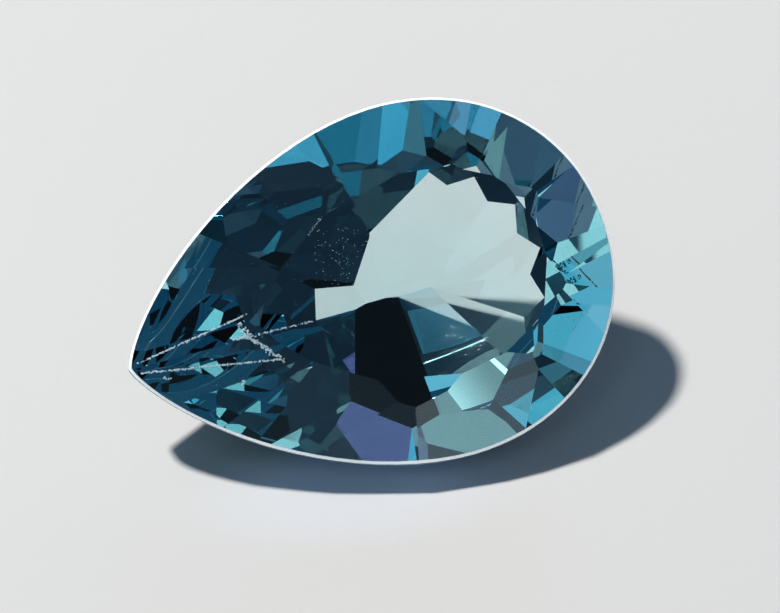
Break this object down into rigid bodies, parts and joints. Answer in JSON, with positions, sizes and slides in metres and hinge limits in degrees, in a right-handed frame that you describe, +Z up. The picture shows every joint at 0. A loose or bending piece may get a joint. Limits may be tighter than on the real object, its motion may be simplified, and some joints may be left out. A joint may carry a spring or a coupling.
{
  "type": "cut topaz gemstone",
  "caption": "Loose pear-shaped faceted gemstone in clear blue topaz, lying on a pavilion facet with its table tilted up, to be set in jewellery or shown as a loose stone.",
  "frame": {"origin": "centre of the bounding box at the level the stone rests on", "axes": "+Z up from the resting facet, the table leans towards -Y, the round head points mostly along +X"},
  "size_m": [0.0138, 0.0088, 0.0066],
  "materials": {
    "blue_topaz": "clear polished blue topaz, refractive index 1.62, red light absorbed most"
  },
  "bodies": {
    "root": {"cut_stone": "blue_topaz"}
  },
  "joints": []
}
